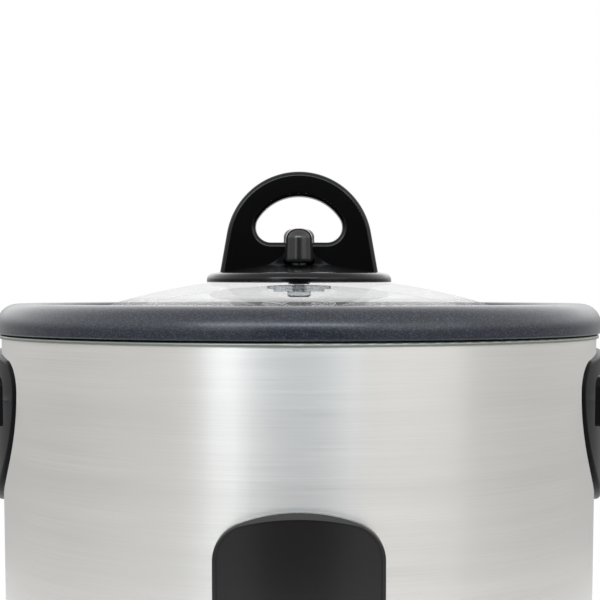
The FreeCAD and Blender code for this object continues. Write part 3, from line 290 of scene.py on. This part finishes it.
def turned_casting(finish):
    """Cast metal with the fine rings of a lathe tool."""
    ring = finish.add("ShaderNodeMath", {"operation": "SINE"}, {0: finish.reach() * 5200})
    cast = finish.noise((90, 90, 90), 4.0)
    return {"Base Color": finish.mix(cast, (0.50, 0.50, 0.51), (0.64, 0.64, 0.65)),
            "Metallic": 1.0,
            "Roughness": 0.32 + cast * 0.14,
            "Normal": finish.bump(ring, 0.12, 0.0002)}


def lamp_lens(tone):
    """A clear tinted lens."""
    def make(finish):
        drift = finish.noise((400, 400, 400), 2.0)
        return {"Base Color": finish.mix(drift, shade(tone, 0.85), tone),
                "Roughness": 0.08 + drift * 0.06,
                "Transmission Weight": 0.55,
                "IOR": 1.49}
    return make


FINISHES = {
    "brushed_steel": brushed_steel,
    "pot_coat": pot_coat,
    "clear_glass": clear_glass,
    "band_steel": band_steel,
    "gloss_black": moulding("black", 0.14, 1.34, 900, 0.0001),
    "grip_black": moulding("grip", 0.3, 1.14, 900, 0.0001),
    "panel_black": moulding("panel", 0.17, 1.55, 1200, 0.0001),
    "base_black": moulding("base", 0.48, 1.45, 1600, 0.0004),
    "silicone": silicone,
    "foot_rubber": plain((0.022, 0.022, 0.023), (0.034, 0.034, 0.034), 0.8, 0.0, (900, 900, 900)),
    "zinc_steel": plain((0.46, 0.46, 0.48), (0.58, 0.58, 0.60), 0.36, 1.0, (260, 260, 260)),
    # The liner's dark grey-green steel tone is painted shade and painted reflection: it stands in for the shade
    # and the rim's dark underside seen in the hem under the pot's rim.
    "liner_metal": plain((0.20, 0.22, 0.19), (0.26, 0.28, 0.25), 0.40, 1.0, (10, 10, 420)),
    "cast_aluminium": turned_casting,
    "red_lens": lamp_lens((0.55, 0.02, 0.015)),
    "amber_lens": lamp_lens((0.80, 0.28, 0.02)),
    "lamp_glass": plain((0.80, 0.74, 0.68), (0.86, 0.82, 0.78), 0.12, 0.0, (500, 500, 500)),
    "board_brown": plain((0.20, 0.12, 0.05), (0.27, 0.17, 0.08), 0.6, 0.0, (40, 400, 400)),
    "ferrite": plain((0.050, 0.050, 0.052), (0.085, 0.085, 0.088), 0.6, 0.2, (700, 700, 700)),
    "insulator": plain((0.66, 0.62, 0.54), (0.76, 0.73, 0.66), 0.55, 0.0, (250, 250, 250)),
    "brass": plain((0.62, 0.45, 0.17), (0.74, 0.57, 0.26), 0.28, 1.0, (350, 350, 350)),
    "mica": plain((0.40, 0.34, 0.26), (0.58, 0.52, 0.42), 0.4, 0.0, (60, 60, 200)),
}


def finish_for(slot):
    """The slot's material, made the first time that it is asked for."""
    name = "finish_" + slot
    material = bpy.data.materials.get(name)
    if material is None:
        material = bpy.data.materials.new(name)
        material.use_nodes = True
        finish = Finish(material.node_tree)
        finish.feed(material.node_tree.nodes["Principled BSDF"], FINISHES[slot](finish))
    return material


# Meshes

def settle(bm, crease):
    """Shades a mesh smooth, with sharp lines where it turns by more than the crease."""
    for face in bm.faces:
        face.smooth = True
    for edge in bm.edges:
        edge.smooth = edge.calc_face_angle(0.0) < math.radians(crease)


def add_piece(bm, name, *nodes, weighted=True, look=None):
    """Turns the mesh into a piece that stands for the nodes, with their finish and on their body."""
    mesh = bpy.data.meshes.new(name)
    bm.to_mesh(mesh)
    bm.free()
    stale = mesh.attributes.get("custom_normal")
    if stale:
        mesh.attributes.remove(stale)
    mesh.materials.clear()
    slot = SLOT_OF[nodes[0]]
    mesh.materials.append(finish_for(look or slot))
    piece = bpy.data.objects.new(name, mesh)
    bpy.context.scene.collection.objects.link(piece)
    if weighted:
        normals = piece.modifiers.new("even_shading", "WEIGHTED_NORMAL")
        normals.keep_sharp = True
    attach(piece, BODY_OF[nodes[0]])
    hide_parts(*nodes)
    return piece


def merged_copy(node, crease=CREASE, shape=None, look=None):
    """A merged copy of a node, so that rounded edges run on without facets."""
    bm = bmesh.new()
    bm.from_mesh(NODES[node].data)
    bmesh.ops.remove_doubles(bm, verts=bm.verts, dist=WELD)
    if shape:
        shape(bm)
    settle(bm, crease)
    return add_piece(bm, node + "_moulded", node, look=look)


def keep(*nodes, look=None):
    """The nodes stay as they are and get their slot's finish, or the given look."""
    for node in nodes:
        mesh = NODES[node].data
        mesh.materials.clear()
        mesh.materials.append(finish_for(look or SLOT_OF[node]))


def outline(bm, corners, bends=8):
    """A bent wire in the XZ plane through corners (radius, height, bend)."""
    verts = [bm.verts.new((corner[0], 0, corner[1])) for corner in corners]
    for here, there in zip(verts, verts[1:]):
        bm.edges.new((here, there))
    spots = [vert.co.copy() for vert in verts]
    for i, corner in enumerate(corners):
        if len(corner) < 3:
            continue
        half = (spots[i - 1] - spots[i]).angle(spots[i + 1] - spots[i]) / 2
        bmesh.ops.bevel(bm, geom=[verts[i]], offset=corner[2] / math.tan(half), offset_type="OFFSET",
                        segments=bends, profile=0.5, affect="VERTICES", material=-1, clamp_overlap=False)


def turn(bm, steps):
    """Spins the wire round the axis into a closed skin."""
    bmesh.ops.spin(bm, geom=bm.verts[:] + bm.edges[:], cent=(0, 0, 0), axis=(0, 0, 1), angle=2 * math.pi,
                   steps=steps, use_merge=True)
    bmesh.ops.remove_doubles(bm, verts=bm.verts, dist=1e-6)
    bmesh.ops.recalc_face_normals(bm, faces=bm.faces)


def islands(bm):
    """The loose parts of a mesh, each as a list of its vertices."""
    for first in bm.verts:
        if first.tag:
            continue
        first.tag = True
        island = [first]
        for vert in island:
            for edge in vert.link_edges:
                other = edge.other_vert(vert)
                if not other.tag:
                    other.tag = True
                    island.append(other)
        yield island


# Operators

class CookerStep(bpy.types.Operator):
    bl_options = {"REGISTER", "UNDO"}

    def execute(self, context):
        self.make()
        return {"FINISHED"}


class COOKER_OT_pot(CookerStep):
    """Turn the coated pot with its lid ledge and rolled rim"""
    bl_idname = "cooker.pot"
    bl_label = "Pot"

    def make(self):
        look = sizes()
        low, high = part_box("inner_pot")
        crest, rim, wall = high.z, high.x, look.pot_wall
        inner = rim - look.pot_jacket
        recess = inner + look.ledge_width
        ledge = crest - look.recess_depth
        edge = crest - look.rim_height
        nose, nook, lip = 0.002, 0.001, 0.004
        lean, foot, hem = 0.0006, 0.001, 0.0003
        under_lip, under_nook, under_nose = 0.002, 0.003 + wall, 0.001
        bm = bmesh.new()
        outline(bm, [
            (0, low.z + wall),
            (inner, low.z + wall, look.pot_corner),
            (inner, ledge, nose),
            (recess, ledge, nook),
            (recess, crest, lip),
            (rim, crest, look.rim_shoulder),
            (rim - lean, edge, foot),
            (rim - lean - wall, edge, hem),
            (rim - wall, crest - wall, look.rim_shoulder - wall),
            (recess + wall, crest - wall, under_lip),
            (recess + wall, ledge - wall, under_nook),
            (inner + wall, ledge - wall, under_nose),
            (inner + wall, low.z, look.pot_corner + wall),
            (0, low.z)])
        turn(bm, POT_FACETS)
        settle(bm, TURNED_CREASE)
        add_piece(bm, "coated_pot", "inner_pot")


class COOKER_OT_glass(CookerStep):
    """Bend the clear glass dome of the lid"""
    bl_idname = "cooker.glass"
    bl_label = "Lid glass"

    def make(self):
        look = sizes()
        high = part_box("lid_glass")[1]
        edge, hole = high.x, look.glass_hole
        outer, inner = look.glass_bend, look.glass_bend - look.glass_wall
        centre = high.z - math.sqrt(outer ** 2 - hole ** 2)
        bm = bmesh.new()
        arcs = []
        for radius in (outer, inner):
            first = math.asin(hole / radius)
            start = bm.verts.new((hole, 0, centre + math.sqrt(radius ** 2 - hole ** 2)))
            bmesh.ops.spin(bm, geom=[start], cent=(0, 0, centre), axis=(0, 1, 0),
                           angle=math.asin(edge / radius) - first, steps=GLASS_STEPS)
            bm.verts.ensure_lookup_table()
            arcs.append((start, bm.verts[-1]))
        for above, below in zip(*arcs):
            bm.edges.new((above, below))
        turn(bm, GLASS_FACETS)
        settle(bm, TURNED_CREASE)
        add_piece(bm, "glass_dome", "lid_glass", weighted=False)


class COOKER_OT_lid(CookerStep):
    """Finish the lid's loop handle, vent knob, band, gaskets and clamp"""
    bl_idname = "cooker.lid"
    bl_label = "Lid fittings"

    def make(self):
        for node in ("lid_handle", "lid_band"):
            merged_copy(node)
        merged_copy("vent_knob", look="panel_black")
        keep("handle_gasket", "under_gasket")
        keep("clamp_washer", "clamp_screw", look="silicone")


class COOKER_OT_drum(CookerStep):
    """Finish the brushed drum, its liner and its base"""
    bl_idname = "cooker.drum"
    bl_label = "Drum"

    def make(self):
        for node in ("outer_shell", "base_tray", "feet"):
            merged_copy(node)
        keep("inner_liner", "bottom_plate")


class COOKER_OT_handles(CookerStep):
    """Finish the side handles"""
    bl_idname = "cooker.handles"
    bl_label = "Side handles"

    def make(self):
        for node in ("side_handle_right", "side_handle_left"):
            grip = merged_copy(node, shape=self.thin, look="grip_black")
            grip.visible_glossy = False  # the brushed drum stays clear of their dark reflections

    def thin(self, bm):
        """Thins the plate towards its upright edges, where it runs out on the drum."""
        begin, loss = 0.55, 0.6
        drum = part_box("outer_shell")[1].x
        ends = max(vert.co.y for vert in bm.verts)
        for vert in bm.verts:
            around = vert.co.xy
            proud = around.length - drum
            if proud < sizes().plate_wall:
                share = max(0.0, (abs(vert.co.y) / ends - begin) / (1.0 - begin))
                vert.co.xy = around.normalized() * (drum + proud * (1.0 - loss * share))


class COOKER_OT_panel(CookerStep):
    """Finish the control panel with its lamps and lever"""
    bl_idname = "cooker.panel"
    bl_label = "Control panel"

    def make(self):
        for node in ("panel_frame", "panel_face", "lever_knob", "cook_lens", "warm_lens"):
            merged_copy(node)
        keep("lamps", "lamp_board")


class COOKER_OT_inlet(CookerStep):
    """Finish the power inlet at the back"""
    bl_idname = "cooker.inlet"
    bl_label = "Power inlet"

    def make(self):
        merged_copy("power_inlet")
        keep("inlet_blades")


class COOKER_OT_screws(CookerStep):
    """Make the cross-recessed pan head screws"""
    bl_idname = "cooker.screws"
    bl_label = "Screws"

    def make(self):
        screw = self.screw()
        self.drive(screw, "bottom_screws", lambda middle: Vector((0, 0, 1)))
        self.drive(screw, "liner_screws", lambda middle: Vector((0, 0, -1)))
        self.drive(screw, "inlet_screws", lambda middle: Vector((0, -1, 0)))
        self.drive(screw, "handle_screws", lambda middle: Vector((middle.x, middle.y, 0)).normalized())
        bpy.data.meshes.remove(screw)

    def screw(self):
        """One screw with its seat at the origin and its shank upwards."""
        look = sizes()
        head, rise, shank = look.screw_head, look.screw_rise, look.screw_shank
        flat, cross, depth = head * 0.55, head * 0.45, rise * 0.7
        bm = bmesh.new()
        outline(bm, [
            (flat, -rise),
            (head, -rise, rise * 0.6),
            (head, 0),
            (shank, 0),
            (shank, look.screw_length, shank * 0.4),
            (0, look.screw_length)], bends=5)
        turn(bm, SCREW_FACETS)
        grid = bmesh.ops.create_grid(bm, x_segments=3, y_segments=3, size=cross,
                                     matrix=Matrix.Translation((0, 0, -rise)))["verts"]
        grid = [face for face in bm.faces if all(vert in grid for vert in face.verts)]
        middles = {face: face.calc_center_median() for face in grid}
        corners = [face for face in grid if min(map(abs, middles[face].xy)) > cross / 3]
        arms = [face for face in grid if face not in corners]
        bmesh.ops.delete(bm, geom=corners, context="FACES")
        sunk = bmesh.ops.extrude_face_region(bm, geom=arms)["geom"]
        bmesh.ops.delete(bm, geom=arms, context="FACES")
        bmesh.ops.translate(bm, verts=[part for part in sunk if isinstance(part, bmesh.types.BMVert)],
                            vec=(0, 0, depth))
        bmesh.ops.bridge_loops(bm, edges=[edge for edge in bm.edges if edge.is_boundary])
        bmesh.ops.recalc_face_normals(bm, faces=bm.faces)
        mesh = bpy.data.meshes.new("screw")
        bm.to_mesh(mesh)
        bm.free()
        return mesh

    def drive(self, screw, node, heading):
        """Sets a copy of the screw in the place of each of the node's screws."""
        found = bmesh.new()
        found.from_mesh(NODES[node].data)
        bmesh.ops.remove_doubles(found, verts=found.verts, dist=WELD)
        bm = bmesh.new()
        for island in islands(found):
            spots = [vert.co for vert in island]
            along = heading(sum(spots, Vector()) / len(spots))
            start = min(spot.dot(along) for spot in spots)
            top = [spot for spot in spots if spot.dot(along) < start + 1e-5]
            seat = sum(top, Vector()) / len(top) + along * sizes().screw_rise
            before = len(bm.verts)
            bm.from_mesh(screw)
            place = Matrix.Translation(seat) @ along.to_track_quat("Z", "Y").to_matrix().to_4x4()
            bmesh.ops.transform(bm, matrix=place, verts=bm.verts[before:])
        found.free()
        settle(bm, CREASE)
        add_piece(bm, node + "_driven", node)


class COOKER_OT_works(CookerStep):
    """Finish the heating plate, the sensor and the switch works"""
    bl_idname = "cooker.works"
    bl_label = "Works"

    def make(self):
        keep("heating_plate", "heater_tube", "terminal_bushes", "thermal_fuse", "warm_band", "sensor_sleeve",
             "sensor_cup", "sensor_ferrite", "magnet", "magnet_rod", "lever_arm", "lever_bracket", "lever_pin",
             "contact_block", "contact_leaves")
        low, high = (corner.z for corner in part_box("sensor_spring"))
        spring = merged_copy("sensor_spring", COIL_CREASE)
        1 - TRAVEL["sensor_press"] / (high - low)
        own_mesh(spring)
        low, high = (corner.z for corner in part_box("release_spring"))
        free = high - low - TRAVEL["sensor_press"]
        spring = merged_copy("release_spring", COIL_CREASE, self.leave_room)
        (high - low - TRAVEL["magnet_rise"]) / free
        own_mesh(spring)

    def leave_room(self, bm):
        """Shortens the spring from below, so that it clears the magnet while the sensor is pressed down."""
        low, high = (corner.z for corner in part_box("release_spring"))
        share = 1 - TRAVEL["sensor_press"] / (high - low)
        for vert in bm.verts:
            vert.co.z = high + (vert.co.z - high) * share


class COOKER_OT_stage(CookerStep):
    """Set up the floor, the studio light and the camera"""
    bl_idname = "cooker.stage"
    bl_label = "Studio"

    def make(self):
        self.floor()
        self.sky()
        self.lamp("key", (-0.70, -1.45, 0.75), (0.34, 0.9), 1.05, (0.94, 0.97, 1.0))
        self.lamp("front", (-0.16, -1.3, 0.84), (1.5, 0.3), 7.6, (0.76, 0.88, 1.0))
        self.lamp("fill", (1.2, -1.25, 0.75), (1.1, 0.8), 1.9, (1.0, 1.0, 0.98))
        self.camera()
        bpy.context.scene.view_settings.view_transform = "Standard"

    def floor(self):
        """A pale round table top that fades out into the white."""
        bm = bmesh.new()
        bmesh.ops.create_circle(bm, cap_ends=True, radius=2.4, segments=96)
        mesh = bpy.data.meshes.new("table")
        bm.to_mesh(mesh)
        bm.free()
        table = bpy.data.objects.new("table", mesh)
        bpy.context.scene.collection.objects.link(table)
        material = bpy.data.materials.new("pale_table")
        material.use_nodes = True
        finish = Finish(material.node_tree)
        fade = finish.fit(finish.reach(), 0.25, 0.7, 0.0, 1.0)
        paper = finish.add("ShaderNodeBsdfDiffuse", {}, {"Color": colours().floor})
        clear = finish.add("ShaderNodeBsdfTransparent", {}, {})
        blend = finish.add("ShaderNodeMixShader", {}, {0: fade, 1: paper, 2: clear})
        finish.feed(material.node_tree.nodes["Material Output"], {"Surface": blend})
        mesh.materials.append(material)

    def sky(self):
        """A white backdrop, and for reflections a room that is dim at eye level, with a dark patch in front."""
        world = bpy.context.scene.world or bpy.data.worlds.new("studio")
        bpy.context.scene.world = world
        world.use_nodes = True
        finish = Finish(world.node_tree)
        spot = finish.add("ShaderNodeTexCoord", {}, {}, "Generated")
        ahead = finish.add("ShaderNodeSeparateXYZ", {}, {0: spot}, 1)
        above = finish.add("ShaderNodeSeparateXYZ", {}, {0: spot}, 2)
        walls = finish.fit(above, -0.02, 0.30, 0.42, 1.5) * finish.fit(above, 0.5, 1.0, 1.0, 0.75)
        room = walls * finish.fit(ahead, -0.985, -0.92, 0.15, 1.0) * finish.fit(ahead, 0.0, 0.8, 1.0, 1.25)
        seen = finish.add("ShaderNodeLightPath", {}, {}, "Is Camera Ray")
        through = finish.add("ShaderNodeLightPath", {}, {}, "Is Transmission Ray")
        white = finish.add("ShaderNodeBackground", {}, {"Color": (1, 1, 1), "Strength": 1.0})
        dim = finish.add("ShaderNodeBackground", {}, {"Color": (1, 1, 1), "Strength": room})
        pick = finish.add("ShaderNodeMath", {"operation": "MAXIMUM"}, {0: seen, 1: through})
        blend = finish.add("ShaderNodeMixShader", {}, {0: pick, 1: dim, 2: white})
        finish.feed(world.node_tree.nodes["World Output"], {"Surface": blend})

    def lamp(self, name, spot, span, power, tint):
        """A soft lamp that points at the drum and that the camera doesn't see."""
        data = bpy.data.lights.new(name, "AREA")
        data.shape = "RECTANGLE"
        data.size, data.size_y = span
        data.energy = power
        data.color = tint
        lamp = bpy.data.objects.new(name, data)
        lamp.location = spot
        lamp.rotation_euler = (Vector((0, 0, 0.15)) - Vector(spot)).to_track_quat("-Z", "Y").to_euler()
        lamp.visible_camera = False
        bpy.context.scene.collection.objects.link(lamp)

    def camera(self):
        """The photograph's lens, about level with the pot's rim. The focal length and shifts are in pixels."""
        data = bpy.data.cameras.new("view")
        pitch = math.radians(4.5)
        picture, focal, right, down = 600, 1454.0, 1.0, 7.0
        data.sensor_width = 36.0
        data.lens = data.sensor_width * focal / picture
        data.shift_x = right / picture
        data.shift_y = (focal * math.tan(pitch) - down) / picture
        data.clip_start = 0.01
        view = bpy.data.objects.new("view", data)
        view.location = (0, -0.688, 0.2188)
        view.rotation_euler = Euler((math.pi / 2 - pitch, 0, 0))
        bpy.context.scene.collection.objects.link(view)
        bpy.context.scene.camera = view


STEPS = (COOKER_OT_pot, COOKER_OT_glass, COOKER_OT_lid, COOKER_OT_drum, COOKER_OT_handles, COOKER_OT_panel,
         COOKER_OT_inlet, COOKER_OT_screws, COOKER_OT_works, COOKER_OT_stage)


class COOKER_PT_panel(bpy.types.Panel):
    bl_label = "Rice cooker"
    bl_idname = "COOKER_PT_panel"
    bl_space_type = "VIEW_3D"
    bl_region_type = "UI"
    bl_category = "Cooker"

    def draw(self, context):
        for group in (context.scene.cooker_sizes, context.scene.cooker_colours):
            box = self.layout.box()
            for name in group.__annotations__:
                box.prop(group, name)
        for step in STEPS:
            self.layout.operator(step.bl_idname)


CLASSES = (CookerSizes, CookerColours) + STEPS + (COOKER_PT_panel,)


def register():
    for each in CLASSES:
        bpy.utils.register_class(each)
    bpy.types.Scene.cooker_sizes = bpy.props.PointerProperty(type=CookerSizes)
    bpy.types.Scene.cooker_colours = bpy.props.PointerProperty(type=CookerColours)


def unregister():
    del bpy.types.Scene.cooker_colours
    del bpy.types.Scene.cooker_sizes
    for each in reversed(CLASSES):
        bpy.utils.unregister_class(each)


def main():
    register()
    for step in STEPS:
        area, name = step.bl_idname.split(".")
        getattr(getattr(bpy.ops, area), name)()


if __name__ == "__main__":
    main()
